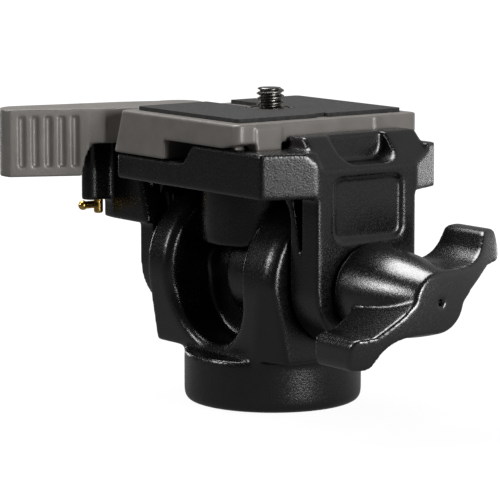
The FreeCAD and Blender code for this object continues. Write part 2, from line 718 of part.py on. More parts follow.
def make_knob():
    """The lock knob: a domed hub with two wings whose outer face is arched, on a threaded insert."""
    body = new_body("wing_knob")
    dome_start = size("knob_rim_width", 1.2)
    turned(body, "hub", "X", [[
        (knob_back, 0), (knob_face, 0), (knob_face, knob_neck_radius, size("knob_dome_radius", 84.0)),
        (knob_back + dome_start, knob_hub_radius), (knob_back, knob_hub_radius),
    ]], centre=(0, pivot_height))
    pad(body, "wings", "YZ_Plane", [wing_half(1) + wing_half(-1)], wing_back, knob_face)
    # The outer face is arched: it falls away towards the tips of the wings.
    arch_radius = (knob_wing_reach * knob_wing_reach + knob_arch * knob_arch) / (2 * knob_arch)
    reach = knob_wing_reach + 2 * overshoot
    drop = arch_radius - root(arch_radius * arch_radius - reach * reach)
    turned(body, "arched_face", "X", [[
        (knob_face, 0), (knob_face + overshoot, 0), (knob_face + overshoot, reach), (knob_face - drop, reach, -arch_radius),
    ]], centre=(0, pivot_height), kind="Groove")
    pocket(body, "insert_seat", "YZ_Plane", [("circle", 0, pivot_height, knob_insert_radius + press_gap)],
           knob_back, knob_back + knob_insert_length)
    pocket(body, "gate_hole", "YZ_Plane", [("circle", 0, pivot_height, gate_radius)],
           knob_face - overshoot, knob_face)
    insert = new_body("knob_insert")
    turned(insert, "insert", "X", [ring_along(bolt_radius + running_gap, knob_insert_radius,
           knob_back, knob_back + knob_insert_length)], centre=(0, pivot_height))


# The quick-release plate.
plate_under = above_pivot("plate_under_rise", 27.0)
plate_mid_under = above_pivot("plate_mid_under_rise", 31.5)
plate_top = above_pivot("plate_top_rise", 37.0)
plate_left_foot = size("plate_left_foot", 27.4)
plate_left_top = size("plate_left_top", 24.0)
plate_foot_inner = size("plate_foot_inner", 6.2)
plate_rim_start = size("plate_rim_start", 16.4)
plate_right = size("plate_right", 22.0)
plate_rim_under = above_pivot("plate_rim_under_rise", 32.7)
plate_front = size("plate_front", 26.5)
plate_back = size("plate_back", 25.3)
plate_wall = size("plate_wall", 2.0)
rail_inner = size("rail_inner", 9.0)
rail_outer = size("rail_outer", 19.8)
rail_neck = size("rail_neck", 17.2)
rail_front = size("rail_front", 23.5)
rail_back = size("rail_back", 20.0)
plate_corner_round = size("plate_corner_round", 2.0)
screw_x = size("screw_x", 0.5)
screw_y = size("screw_y", 0.4)
screw_radius = size("screw_radius", 3.175)
screw_room = size("screw_room", 0.2)
screw_head_radius = size("screw_head_radius", 6.5)
screw_head_height = size("screw_head_height", 3.6)
screw_top = above_pivot("screw_top_rise", 42.5)
head_room = size("head_room", 1.7)
pad_thickness = size("pad_thickness", 0.9)
pad_left = size("pad_left", 21.2)
pad_right = size("pad_right", 18.3)
pad_front = size("pad_front", 23.4)
pad_back = size("pad_back", 23.3)
pad_opening = size("pad_opening", 5.6)
channel_half_width = size("channel_half_width", 3.55)


def make_quick_plate():
    """The camera plate: a hollow tray whose left flank and right rail form a dovetail."""
    body = new_body("quick_plate")
    pad(body, "tray", "XZ_Plane", [[
        (-plate_left_foot, plate_under), (-plate_foot_inner, plate_under), (-plate_foot_inner, plate_mid_under),
        (plate_rim_start, plate_mid_under), (plate_right, plate_rim_under), (plate_right, plate_top),
        (-plate_left_top, plate_top),
    ]], -plate_front, plate_back)
    pad(body, "rail", "XZ_Plane", [[
        (rail_inner, plate_under), (rail_outer, plate_under), (rail_neck, plate_mid_under),
        (rail_inner, plate_mid_under),
    ]], -rail_front, rail_back)
    pad(body, "lug", "XY_Plane", [rectangle(plate_lug_x, plate_right, -plate_lug_front, -plate_lug_back)],
        plate_lug_under, plate_rim_under + plate_wall)
    ceiling = plate_top - plate_wall
    pocket(body, "left_hollow", "XY_Plane", [rounded_rectangle(-plate_left_top + plate_wall / 2,
           -plate_foot_inner - plate_wall, -plate_front + plate_wall, plate_back - plate_wall,
           plate_corner_round)], plate_under, ceiling)
    pocket(body, "middle_hollow", "XY_Plane", [rounded_rectangle(-plate_foot_inner + plate_wall,
           rail_inner - overshoot, -plate_front + plate_wall, plate_back - plate_wall, plate_corner_round)],
           plate_mid_under, ceiling)
    pocket(body, "rail_hollow", "XY_Plane", [rounded_rectangle(rail_inner + plate_wall,
           rail_neck - plate_wall, -rail_front + plate_wall, rail_back - plate_wall, plate_corner_round)],
           plate_under, ceiling)
    pad(body, "plunger_pad", "XY_Plane", [("circle", -plunger_x, 0, plunger_radius + size("plunger_pad_wall", 0.9))],
        plate_under, ceiling)
    pocket(body, "screw_recess", "XY_Plane", [("circle", -screw_x, -screw_y, screw_head_radius + head_room)],
           plate_under, ceiling)
    pocket(body, "top_slot", "XY_Plane", [rectangle(-plunger_x, -screw_x - pad_opening,
           -channel_half_width, channel_half_width)], ceiling, plate_top)
    hole = pocket(body, "screw_hole", "XY_Plane", [("circle", -screw_x, -screw_y, screw_radius + screw_room)],
                  ceiling, plate_top)
    document.recompute()

    def on_upright_corner(point):
        """True on the four upright outside corners of the tray."""
        front = abs(point.y + float(plate_front)) < 0.01
        back = abs(point.y - float(plate_back)) < 0.01
        flank = float(plate_left_foot) - (point.z - float(plate_under)) * float(
            (plate_left_foot - plate_left_top) / (plate_top - plate_under))
        left = abs(point.x + flank) < 0.01
        right = abs(point.x - float(plate_right)) < 0.01
        return (front or back) and (left or right)

    fillet(body, "upright_corners", hole, edges_where(hole, on_upright_corner), plate_corner_round)


def make_plate_fittings():
    """The rubber pad with its channel, the collar, the camera screw and its retaining ring."""
    rubber = new_body("rubber_pad")
    low = plate_top
    high = plate_top + pad_thickness
    pad(rubber, "sheet", "XY_Plane", [rounded_rectangle(-pad_left, pad_right, -pad_front, pad_back,
        size("pad_round", 1.2))], low, high)
    pocket(rubber, "opening", "XY_Plane", [("circle", -screw_x, -screw_y, pad_opening)], low, high)
    pocket(rubber, "channel", "XY_Plane", [rectangle(-pad_left, -screw_x - pad_opening / 2,
           -channel_half_width, channel_half_width)], low, high)
    pocket(rubber, "edge_notch", "XY_Plane", [rectangle(pad_right - size("notch_depth", 1.3), pad_right,
           -size("notch_front", 1.4), size("notch_back", 1.7))], low, high)
    collar = new_body("screw_collar")
    collar_inner = size("collar_inner", 4.6)
    collar_outer = size("collar_outer", 5.4)
    turned(collar, "collar", "Z", [tube(collar_inner, collar_outer, low, high)], centre=(-screw_x, -screw_y))
    screw = new_body("camera_screw")
    ceiling = plate_top - plate_wall
    head_top = ceiling - running_gap
    tip = size("screw_tip_chamfer", 0.5)
    neck = size("screw_neck_radius", 2.6)
    neck_top = high - size("neck_depth", 0.1)
    turned(screw, "screw", "Z", [[
        (0, head_top - screw_head_height), (screw_head_radius, head_top - screw_head_height),
        (screw_head_radius, head_top), (screw_radius, head_top), (screw_radius, low),
        (neck, low), (neck, neck_top), (screw_radius, neck_top), (screw_radius, screw_top - tip),
        (screw_radius - tip, screw_top), (0, screw_top),
    ]], centre=(-screw_x, -screw_y))
    slot_half_width = size("coin_slot_half_width", 0.9)
    slot_depth = size("coin_slot_depth", 1.6)
    pocket(screw, "coin_slot", "XY_Plane", [rectangle(-screw_x - screw_head_radius, -screw_x + screw_head_radius,
           -screw_y - slot_half_width, -screw_y + slot_half_width)],
           head_top - screw_head_height, head_top - screw_head_height + slot_depth)
    clip = new_body("screw_clip")
    clip_radius = size("clip_radius", 4.2)
    turned(clip, "clip", "Z", [tube(neck + press_gap, clip_radius, low + running_gap, neck_top - running_gap)],
           centre=(-screw_x, -screw_y))


# The clamp lever and its pivot.
lever_under = above_pivot("lever_under_rise", 28.6)
lever_top = above_pivot("lever_top_rise", 36.8)
lever_hub_radius = size("lever_hub_radius", 6.0)
grip_under = above_pivot("grip_under_rise", 21.0)
flute_count = size("flute_count", 5)
lever_bore_depth = size("lever_bore_depth", 5.7)
dowel_x = size("dowel_x", 30.4)
dowel_y = size("dowel_y", 21.6)
dowel_radius = size("dowel_radius", 0.8)
dowel_depth = size("dowel_depth", 2.5)
dowel_stand = size("dowel_stand", 0.3)
nose_width = size("nose_width", 4.5)
nose_gap = size("nose_gap", 0.06)


def make_clamp_lever():
    """The lever: a hub with a wedge nose against the plate's flank, an arm and a deep ribbed grip."""
    body = new_body("clamp_lever")
    inner_root = (size("arm_inner_x", 27.0), size("arm_inner_y", 19.0))
    inner_bend = (size("arm_bend_x", 29.0), size("arm_bend_y", 22.6))
    grip_inner = (size("grip_inner_x", 32.4), size("grip_inner_y", 29.6))
    tip_inner = (size("tip_inner_x", 40.5), size("tip_inner_y", 46.15))
    tip_outer = (size("tip_outer_x", 48.9), size("tip_outer_y", 40.85))
    outer_grip = (size("grip_outer_x", 46.2), size("grip_outer_y", 29.3))
    outer_bend = (size("outer_bend_x", 42.6), size("outer_bend_y", 13.4))
    outer_root = (size("outer_root_x", 37.3), size("outer_root_y", 0.6))
    tip_round = size("tip_round", 6.5)
    hub = [("circle", -lever_x, -lever_y, lever_hub_radius)]
    pad(body, "hub", "XY_Plane", hub, lever_under, lever_top)
    pad(body, "arm", "XY_Plane", [[
        (-lever_x + lever_hub_radius - face_gap, -lever_y), (-outer_root[0], outer_root[1]),
        (-outer_bend[0], -outer_bend[1]), (-outer_grip[0], -outer_grip[1]), (-tip_outer[0], -tip_outer[1], tip_round),
        (-tip_inner[0], -tip_inner[1]), (-inner_bend[0], -inner_bend[1]), (-inner_root[0], -inner_root[1]),
    ]], lever_under, lever_top)
    pad(body, "grip", "XY_Plane", [[
        (-grip_inner[0], -grip_inner[1]), (-outer_grip[0], -outer_grip[1]),
        (-tip_outer[0], -tip_outer[1], tip_round), (-tip_inner[0], -tip_inner[1]),
    ]], grip_under, lever_top)
    # The grip's end towards the hub leans, and a round root joins it to the arm's underside.
    root_low = size("grip_root_low", 31.0)
    root_round = size("grip_root_round", 2.6)
    pocket(body, "grip_root_slope", "YZ_Plane", [[
        (-root_low, grip_under), (-inner_bend[1], grip_under), (-inner_bend[1], lever_under),
        (-outer_grip[1], lever_under),
    ]], -tip_outer[0], -inner_bend[0])
    pad(body, "grip_root", "YZ_Plane", [[
        (-grip_inner[1], lever_under - root_round, -root_round), (-grip_inner[1] + root_round, lever_under),
        (-grip_inner[1], lever_under),
    ]], -outer_grip[0] + root_round / 4, -grip_inner[0])
    # The nose fills the space up to the plate's leaning flank, then is cut to lie along it.
    lean = (plate_left_foot - plate_left_top) / (plate_top - plate_under)
    pad(body, "nose", "XY_Plane", [rectangle(-lever_x, -plate_left_top, -lever_y - nose_width, -lever_y)],
        lever_under, lever_top)
    flank_low = -plate_left_foot + lean * (lever_under - plate_under) - nose_gap
    flank_high = -plate_left_foot + lean * (lever_top - plate_under) - nose_gap
    pocket(body, "nose_slope", "XZ_Plane", [[
        (flank_low, lever_under), (-plate_left_top + overshoot, lever_under),
        (-plate_left_top + overshoot, lever_top), (flank_high, lever_top),
    ]], -lever_y - nose_width, -lever_y)
    # Flutes between the ribs of the grip, along its inner face.
    flute_radius = size("flute_radius", 1.1)
    flute_stand = size("flute_stand", 0.65)
    flute_low = above_pivot("flute_low_rise", 23.3)
    flute_high = above_pivot("flute_high_rise", 35.1)
    first_share = size("flute_first_share", 0.163)
    step_share = size("flute_step_share", 0.17)
    run_x = tip_inner[0] - grip_inner[0]
    run_y = tip_inner[1] - grip_inner[1]
    run = root(run_x * run_x + run_y * run_y)
    flutes = []
    for number in range(int(float(flute_count))):
        share = first_share + step_share * number
        flutes.append(("circle", flute_stand * run_y / run - grip_inner[0] - run_x * share,
                       -flute_stand * run_x / run - grip_inner[1] - run_y * share, flute_radius))
    pocket(body, "flutes", "XY_Plane", flutes, flute_low, flute_high)
    pocket(body, "pivot_bore", "XY_Plane", [("circle", -lever_x, -lever_y, lever_pin_radius + running_gap)],
           lever_under, lever_under + lever_bore_depth)
    pocket(body, "dowel_hole", "XY_Plane", [("circle", -dowel_x, -dowel_y, dowel_radius + press_gap)],
           lever_under, lever_under + dowel_depth)
    dowel = new_body("lever_dowel")
    pad(dowel, "dowel", "XY_Plane", [("circle", -dowel_x, -dowel_y, dowel_radius)],
        lever_under - dowel_stand, lever_under + dowel_depth)


def make_lever_fittings():
    """Shoulder screw, washer and torsion spring of the lever."""
    screw = new_body("lever_pivot_screw")
    seat = housing_under + face_gap
    turned(screw, "screw", "Z", [[
        (0, seat), (lever_screw_head_radius, seat), (lever_screw_head_radius, seat + lever_screw_head_height),
        (lever_pin_radius, seat + lever_screw_head_height),
        (lever_pin_radius, lever_under + lever_bore_depth - face_gap), (0, lever_under + lever_bore_depth - face_gap),
    ]], centre=(-lever_x, -lever_y))
    washer = new_body("lever_washer")
    washer_radius = lever_well_radius + size("lever_washer_rim", 0.5)
    turned(washer, "washer", "Z", [tube(lever_pin_radius + running_gap, washer_radius, housing_top,
           lever_under - face_gap)], centre=(-lever_x, -lever_y))


def wound_spring(label, centre_x, centre_y, low, high, coil_radius, wire_radius, turns):
    """A helix between two levels, of wire whose section is a six-sided ring."""
    coil_radius, wire_radius = float(coil_radius), float(wire_radius)
    rise = float(high) - float(low) - 2 * wire_radius
    path = Part.makeHelix(rise / float(turns), rise, coil_radius)
    corners = []
    for number in range(7):
        angle = math.radians(60 * number)
        corners.append(FreeCAD.Vector(coil_radius + wire_radius * math.cos(angle), 0, wire_radius * math.sin(angle)))
    coil = Part.Wire(path.Edges).makePipeShell([Part.makePolygon(corners)], True, True)
    spring = document.addObject("Part::Feature", label)
    spring.Label = label
    spring.Shape = coil
    place = FreeCAD.Vector(float(centre_x), float(centre_y), float(low) + wire_radius)
    spring.Placement = FreeCAD.Placement(place, FreeCAD.Rotation())
    sub_parts.append(spring)


def make_springs():
    """The lever's torsion spring and the plunger's lifting spring."""
    wire = size("lever_spring_wire", 0.45)
    coil = lever_well_radius - wire - size("spring_room", 0.4)
    wound_spring("lever_spring", -lever_x, -lever_y, housing_top - lever_well_depth + face_gap,
                 housing_top - face_gap, coil, wire, size("lever_spring_turns", 3))
    wire = size("trigger_spring_wire", 0.35)
    coil = well_radius - wire - size("trigger_spring_room", 0.3)
    wound_spring("trigger_spring", -plunger_x, 0, saddle_top + plug_thickness,
                 well_top - plunger_travel - plunger_collar_height - face_gap, coil, wire,
                 size("trigger_spring_turns", 3))


def make_trigger():
    """The plunger that pushes the plate up, and the plug that closes its well."""
    plunger = new_body("trigger_plunger")
    collar_top = well_top - plunger_travel - running_gap
    collar_under = collar_top - plunger_collar_height
    turned(plunger, "plunger", "Z", [[
        (0, collar_under), (plunger_collar_radius, collar_under), (plunger_collar_radius, collar_top),
        (plunger_radius, collar_top), (plunger_radius, plate_under - running_gap), (0, plate_under - running_gap),
    ]], centre=(-plunger_x, 0))
    plug = new_body("trigger_plug")
    turned(plug, "plug", "Z", [[
        (0, saddle_top), (well_radius - press_gap, saddle_top),
        (well_radius - press_gap, saddle_top + plug_thickness), (0, saddle_top + plug_thickness),
    ]], centre=(-plunger_x, 0))


def make_catch():
    """The safety catch: a stem in a bush, with a finger along the housing that ends in a ball."""
    bush = new_body("catch_bush")
    turned(bush, "bush", "Z", [tube(catch_stem_radius + running_gap, catch_bush_radius, lobe_under,
           lobe_under + catch_bush_length)], centre=(-catch_x, -catch_y))
    body = new_body("safety_catch")
    stem_under = above_pivot("catch_stem_under_rise", 10.4)
    finger_radius = size("finger_radius", 0.9)
    ball_radius = size("ball_radius", 1.15)
    finger_end = size("finger_end", 24.0)
    finger_height = lobe_under - ball_radius - face_gap
    stem_top = lobe_under + catch_bush_length - face_gap
    stem_round = catch_stem_radius / 2
    turned(body, "stem", "Z", [[
        (0, stem_under), (catch_stem_radius - stem_round, stem_under, stem_round),
        (catch_stem_radius, stem_under + stem_round), (catch_stem_radius, stem_top), (0, stem_top),
    ]], centre=(-catch_x, -catch_y))
    pad(body, "finger", "XZ_Plane", [("circle", -catch_x, finger_height, finger_radius)], -finger_end, -catch_y)
    sketch = new_sketch(body, "ball_outline", "XZ_Plane", finger_end, (-catch_x, finger_height))
    draw(sketch, [[(-ball_radius, 0), (ball_radius, 0, ball_radius), (0, ball_radius, ball_radius)]])
    ball = body.newObject("PartDesign::Revolution", "ball")
    ball.Profile = sketch
    ball.ReferenceAxis = (sketch, ["H_Axis"])
    ball.Angle = 360


make_base_casting()
make_base_fittings()
make_head_casting()
make_head_fittings()
make_knob()
make_quick_plate()
make_plate_fittings()
make_clamp_lever()
make_lever_fittings()
make_springs()
make_trigger()
make_catch()
document.recompute()

# Every object has to be sound, and every cut has to take material away, before anything is written.
for item in document.Objects:
    faults = [word for word in item.State if word in ("Invalid", "Error")]
    if faults:
        raise RuntimeError(f"{item.Label} of {item.getParentGeoFeatureGroup()} failed: {item.State}")
for cut in cuts:
    if cut.Shape.Volume > cut.BaseFeature.Shape.Volume - 0.01:
        raise RuntimeError(f"{cut.Label} takes nothing away")
for part in sub_parts:
    if part.Shape.isNull() or not part.Shape.isValid():
        raise RuntimeError(f"{part.Label} has no sound shape")

os.makedirs("parts", exist_ok=True)
for part in sub_parts:
    part.Shape.exportStep(f"parts/{part.Label}.step")
    solids = len(part.Shape.Solids)
    print(f"{part.Label:22s} {solids} solid {part.Shape.Volume:10.1f} mm3")
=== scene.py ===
import math
import bpy
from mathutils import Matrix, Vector


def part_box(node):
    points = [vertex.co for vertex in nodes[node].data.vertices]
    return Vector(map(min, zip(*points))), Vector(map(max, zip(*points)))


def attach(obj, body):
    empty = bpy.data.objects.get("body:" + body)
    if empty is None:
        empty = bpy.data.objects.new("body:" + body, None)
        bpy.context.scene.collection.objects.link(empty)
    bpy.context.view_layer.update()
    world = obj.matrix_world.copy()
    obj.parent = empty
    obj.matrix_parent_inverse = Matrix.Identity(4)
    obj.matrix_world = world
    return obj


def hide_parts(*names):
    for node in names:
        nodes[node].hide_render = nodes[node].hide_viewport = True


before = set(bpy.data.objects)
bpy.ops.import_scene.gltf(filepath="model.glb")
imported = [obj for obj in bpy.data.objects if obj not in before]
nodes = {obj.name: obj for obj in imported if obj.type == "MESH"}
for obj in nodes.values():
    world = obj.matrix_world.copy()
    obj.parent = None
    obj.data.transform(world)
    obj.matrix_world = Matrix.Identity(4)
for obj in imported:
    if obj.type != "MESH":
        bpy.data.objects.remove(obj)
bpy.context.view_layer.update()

MM = 0.001


# The camera stands a little above the quick plate and looks at the head between its lever side and its
# knob. A long lens keeps the upright edges nearly parallel.
turn = math.radians(52.984)
stand_off, eye_height = 699.1 * MM, 134.16 * MM
aim_aside, aim_height = -5.29 * MM, 34.87 * MM
film_width, focal_length = 36, 219.1
nearest, furthest = 0.01, 20
aim = Vector((aim_aside * math.cos(turn), aim_aside * math.sin(turn), aim_height))
eye = Vector((stand_off * math.sin(turn), -stand_off * math.cos(turn), eye_height))
camera_data = bpy.data.cameras.new("studio_camera")
camera_data.sensor_width = film_width
camera_data.lens = focal_length
camera_data.clip_start = nearest
camera_data.clip_end = furthest
camera = bpy.data.objects.new("studio_camera", camera_data)
camera.location = eye
camera.rotation_euler = (aim - eye).to_track_quat("-Z", "Y").to_euler()
bpy.context.scene.collection.objects.link(camera)
bpy.context.scene.camera = camera


# The base is a pressure die casting in aluminium: socket collar, fork block and drum in one piece. It is
# shot-blasted and powder-coated black, which rounds every edge and leaves a fine orange-peel grain that
# glints where the light grazes it.
def new_material(name):
    """An empty material, with its nodes and links."""
    made = bpy.data.materials.new(name)
    made.use_nodes = True
    made.node_tree.nodes.clear()
    return made, made.node_tree.nodes, made.node_tree.links


def graded(steps, links, value, ends, results):
    """Turn a value between two ends into one between two results."""
    made = steps.new("ShaderNodeMapRange")
    made.inputs["From Min"].default_value = ends[0]
    made.inputs["From Max"].default_value = ends[1]
    made.inputs["To Min"].default_value = results[0]
    made.inputs["To Max"].default_value = results[1]
    links.new(value, made.inputs["Value"])
    return made.outputs["Result"]


def coat(name, dark, light, sheen, dull, grain, relief, patches=320.0, metallic=0.0, specular=0.5):
    """A skin whose colour drifts in broad patches and whose gloss and relief follow a fine grain."""
    noise_detail, grain_harshness = 3, 0.55
    dark_up_to, light_from = 0.35, 0.68
    grain_ends = (0.35, 0.65)
    made, steps, links = new_material(name)
    output = steps.new("ShaderNodeOutputMaterial")
    skin = steps.new("ShaderNodeBsdfPrincipled")
    links.new(skin.outputs["BSDF"], output.inputs["Surface"])
    skin.inputs["Metallic"].default_value = metallic
    skin.inputs["Specular IOR Level"].default_value = specular
    place = steps.new("ShaderNodeTexCoord")
    fine = steps.new("ShaderNodeTexNoise")
    fine.inputs["Scale"].default_value = grain
    fine.inputs["Roughness"].default_value = grain_harshness
    broad = steps.new("ShaderNodeTexNoise")
    broad.inputs["Scale"].default_value = patches
    for noise in (fine, broad):
        noise.inputs["Detail"].default_value = noise_detail
        links.new(place.outputs["Object"], noise.inputs["Vector"])
    tint = steps.new("ShaderNodeValToRGB")
    tint.color_ramp.elements[0].position = dark_up_to
    tint.color_ramp.elements[0].color = (*dark, 1)
    tint.color_ramp.elements[1].position = light_from
    tint.color_ramp.elements[1].color = (*light, 1)
    links.new(broad.outputs["Fac"], tint.inputs["Fac"])
    links.new(tint.outputs["Color"], skin.inputs["Base Color"])
    shine = graded(steps, links, fine.outputs["Fac"], ends=grain_ends, results=(sheen, dull))
    links.new(shine, skin.inputs["Roughness"])
    bump = steps.new("ShaderNodeBump")
    bump.inputs["Strength"].default_value = 1.0
    bump.inputs["Distance"].default_value = relief
    links.new(fine.outputs["Fac"], bump.inputs["Height"])
    links.new(bump.outputs["Normal"], skin.inputs["Normal"])
    return made


def pick(piece):
    """Select this piece alone, and make it the active one."""
    bpy.ops.object.select_all(action="DESELECT")
    piece.select_set(True)
    bpy.context.view_layer.objects.active = piece


def taken_from(node, name):
    """A merged copy of a node's plain shape, ready to be worked."""
    made = nodes[node].copy()
    made.data = nodes[node].data.copy()
    made.name = name
    made.data.name = name
    made.parent = None
    for note in [note for note in made.keys() if note.startswith("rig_")]:
        del made[note]
    bpy.context.scene.collection.objects.link(made)
    pick(made)
    bpy.ops.object.mode_set(mode="EDIT")
    bpy.ops.mesh.select_all(action="SELECT")
    bpy.ops.mesh.remove_doubles(threshold=0.002 * MM)
    bpy.ops.mesh.customdata_custom_splitnormals_clear()
    bpy.ops.object.mode_set(mode="OBJECT")
    return made


def soften(made, cell, passes):
    """Round every edge a little, as the mould and the coat do: an even new skin, then rubbed down."""
    pick(made)
    skin = made.modifiers.new("skin", "REMESH")
    skin.mode = "VOXEL"
    skin.voxel_size = cell
    bpy.ops.object.modifier_apply(modifier="skin")
    rub = made.modifiers.new("rub", "SMOOTH")
    rub.factor = 0.5
    rub.iterations = passes
    bpy.ops.object.modifier_apply(modifier="rub")
    bpy.ops.object.shade_smooth()


def paint(piece, finish):
    """Give a piece one finish all over."""
    piece.data.materials.clear()
    piece.data.materials.append(finish)


def finished(made, node, body, finish):
    """Paint the piece, let it stand for its node and move with its body."""
    paint(made, finish)
    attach(made, body)
    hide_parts(node)


powder_coat = coat("black_powder_coat", dark=(0.0025, 0.0025, 0.0027), light=(0.0045, 0.0045, 0.0045),
                   sheen=0.17, dull=0.33, grain=2500.0, relief=0.04 * MM, specular=0.6)
coated_base = taken_from("base_casting", "coated_base")
soften(coated_base, cell=0.42 * MM, passes=28)
finished(coated_base, "base_casting", "base", powder_coat)


# The head is the second die casting, with the deck, the two ears, the jaw, the belly and the lever's
# housing. It has the same blasted and coated skin as the base.
coated_head = taken_from("head_casting", "coated_head")
soften(coated_head, cell=0.45 * MM, passes=7)

# The trigger's plunger slides in a well in the head, so the softened wall there is eased back from it.
plunger_low, plunger_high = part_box("trigger_plunger")
plunger_axis = (plunger_low + plunger_high) / 2
wall_depth = 0.7 * MM
well_reach = (plunger_high.x - plunger_low.x) / 2 + wall_depth
ease_out, ease_up = 0.3 * MM, 0.15 * MM
for point in coated_head.data.vertices:
    off_axis = Vector((point.co.x - plunger_axis.x, point.co.y - plunger_axis.y, 0))
    beside = plunger_low.z < point.co.z < plunger_high.z + ease_out
    if beside and off_axis.length < well_reach:
        point.co += off_axis.normalized() * ease_out
        point.co.z += ease_up
finished(coated_head, "head_casting", "head", powder_coat)


# The lock knob is moulded in black glass-filled nylon. The mould is lightly eroded, so the skin has a
# grain like that of the castings but glossier, and its edges are rounded by about half a millimetre.
moulded_nylon = coat("black_moulded_nylon", dark=(0.003, 0.003, 0.0032), light=(0.005, 0.005, 0.0052),
                     sheen=0.17, dull=0.31, grain=2600.0, relief=0.03 * MM, specular=0.95)
moulded_knob = taken_from("wing_knob", "moulded_knob")
soften(moulded_knob, cell=0.4 * MM, passes=15)
finished(moulded_knob, "wing_knob", "knob", moulded_nylon)


# The plug that closes the trigger's well is moulded in the same black nylon as the knob. It carries the
# spring that lifts the plunger.
paint(nodes["trigger_plug"], moulded_nylon)


# The quick plate is a small zinc die casting with a dovetail underneath. Its warm grey satin lacquer has
# fine metal flake in it and pools slightly along the edges.
def add_block(made, low, high):
    """Melt a small block into a piece before its skin is drawn."""
    bpy.ops.object.select_all(action="DESELECT")
    centre = [(a + b) / 2 for a, b in zip(low, high)]
    extent = [b - a for a, b in zip(low, high)]
    bpy.ops.mesh.primitive_cube_add(size=1, location=centre, scale=extent)
    bpy.ops.object.transform_apply(location=True, rotation=True, scale=True)
    made.select_set(True)
    bpy.context.view_layer.objects.active = made
    bpy.ops.object.join()


warm_lacquer = coat("warm_grey_lacquer", dark=(0.185, 0.172, 0.16), light=(0.215, 0.2, 0.186),
                    sheen=0.34, dull=0.5, grain=2400.0, relief=0.03 * MM, patches=210.0, metallic=0.25)
lacquered_plate = taken_from("quick_plate", "lacquered_plate")
plate_low, plate_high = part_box("quick_plate")

# The dovetail's rail ends in a foot that swells out of the right flank.
foot_root, foot_swell = plate_high.x - 3 * MM, plate_high.x + 0.4 * MM
foot_front, foot_back = plate_low.y + 5.2 * MM, plate_low.y + 12.2 * MM
foot_under, foot_top = plate_high.z - 6.15 * MM, plate_high.z - 1.0 * MM
add_block(lacquered_plate, (foot_root, foot_front, foot_under), (foot_swell, foot_back, foot_top))

# A small rib stands on the same flank, under the rim.
rib_root, rib_swell = plate_high.x - 0.5 * MM, plate_high.x + 0.3 * MM
rib_front, rib_back = plate_high.y - 12.9 * MM, plate_high.y - 12.0 * MM
rib_under, rib_top = plate_high.z - 3.6 * MM, plate_high.z - 0.4 * MM
add_block(lacquered_plate, (rib_root, rib_front, rib_under), (rib_swell, rib_back, rib_top))
soften(lacquered_plate, cell=0.33 * MM, passes=4)
finished(lacquered_plate, "quick_plate", "plate", warm_lacquer)


# The clamp lever is cast in the same zinc alloy as the plate and has the same lacquer. It turns on the
# housing and presses on the dovetail, and its grip is fluted.
lacquered_lever = taken_from("clamp_lever", "lacquered_lever")
soften(lacquered_lever, cell=0.27 * MM, passes=4)
finished(lacquered_lever, "clamp_lever", "lever", warm_lacquer)


# The pad is die-cut from dark grey cork rubber and bonded to the plate. Its face is open-pored, so it is
# dull and finely mottled.
cork_rubber = coat("dark_cork_rubber", dark=(0.02, 0.02, 0.0195), light=(0.036, 0.036, 0.035),
                   sheen=0.6, dull=0.85, grain=2600.0, relief=0.06 * MM, patches=900.0, specular=0.3)
paint(nodes["rubber_pad"], cork_rubber)


# The camera screw is turned in steel. Its thread is 1/4 inch with 20 turns to the inch, cut down to the
# neck that holds the retaining ring, and its end is chamfered.
bright_steel = coat("turned_steel", dark=(0.11, 0.107, 0.1), light=(0.2, 0.193, 0.183),
                    sheen=0.22, dull=0.36, grain=3000.0, relief=0.008 * MM, metallic=1.0)
screw_low, screw_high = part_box("camera_screw")
screw_axis = (screw_low + screw_high) / 2
thread_pitch, thread_radius, root_radius = 1.27 * MM, 3.175 * MM, 2.42 * MM
below_pad = 0.1 * MM
thread_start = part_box("rubber_pad")[1].z - below_pad


def rod_on_axis(sides, radius, length, middle):
    """A plain rod on the screw's axis."""
    bpy.ops.object.select_all(action="DESELECT")
    bpy.ops.mesh.primitive_cylinder_add(vertices=sides, radius=radius, depth=length,
                                        location=(screw_axis.x, screw_axis.y, middle))
    bpy.ops.object.transform_apply(location=True, rotation=True, scale=True)
    return bpy.context.object


# The core of the thread reaches down into the neck and a little past the end, where it is trimmed.
core_sink, core_spare = 0.5 * MM, 0.1 * MM
core_length = screw_high.z - thread_start + core_sink + core_spare
core_middle = thread_start - core_sink + core_length / 2
core = rod_on_axis(sides=48, radius=root_radius, length=core_length, middle=core_middle)

# One ridge of the thread, a trapezoid that is wide at its root, is wound round the axis.
ridge_foot = root_radius - 0.1 * MM
half_root, half_crest = 0.46 * thread_pitch, 0.09 * thread_pitch
spare_turns, steps_a_turn = 2, 40
bpy.ops.object.select_all(action="DESELECT")
bpy.ops.mesh.primitive_plane_add(size=1 * MM,
                                 location=(screw_axis.x, screw_axis.y, thread_start - thread_pitch))
ridge = bpy.context.object
corners = ((ridge_foot, -half_root), (ridge_foot, half_root),
           (thread_radius, -half_crest), (thread_radius, half_crest))
for point, (away, rise) in zip(ridge.data.vertices, corners):
    point.co = (away, 0, rise)
winding = ridge.modifiers.new("winding", "SCREW")
winding.axis = "Z"
winding.screw_offset = thread_pitch
winding.iterations = int(core_length / thread_pitch) + spare_turns
winding.steps = winding.render_steps = steps_a_turn
bpy.ops.object.modifier_apply(modifier="winding")
bpy.ops.object.mode_set(mode="EDIT")
bpy.ops.mesh.select_all(action="SELECT")
bpy.ops.mesh.fill_holes(sides=len(corners))
bpy.ops.mesh.normals_make_consistent(inside=False)
bpy.ops.object.mode_set(mode="OBJECT")
bpy.ops.object.transform_apply(location=True, rotation=True, scale=True)

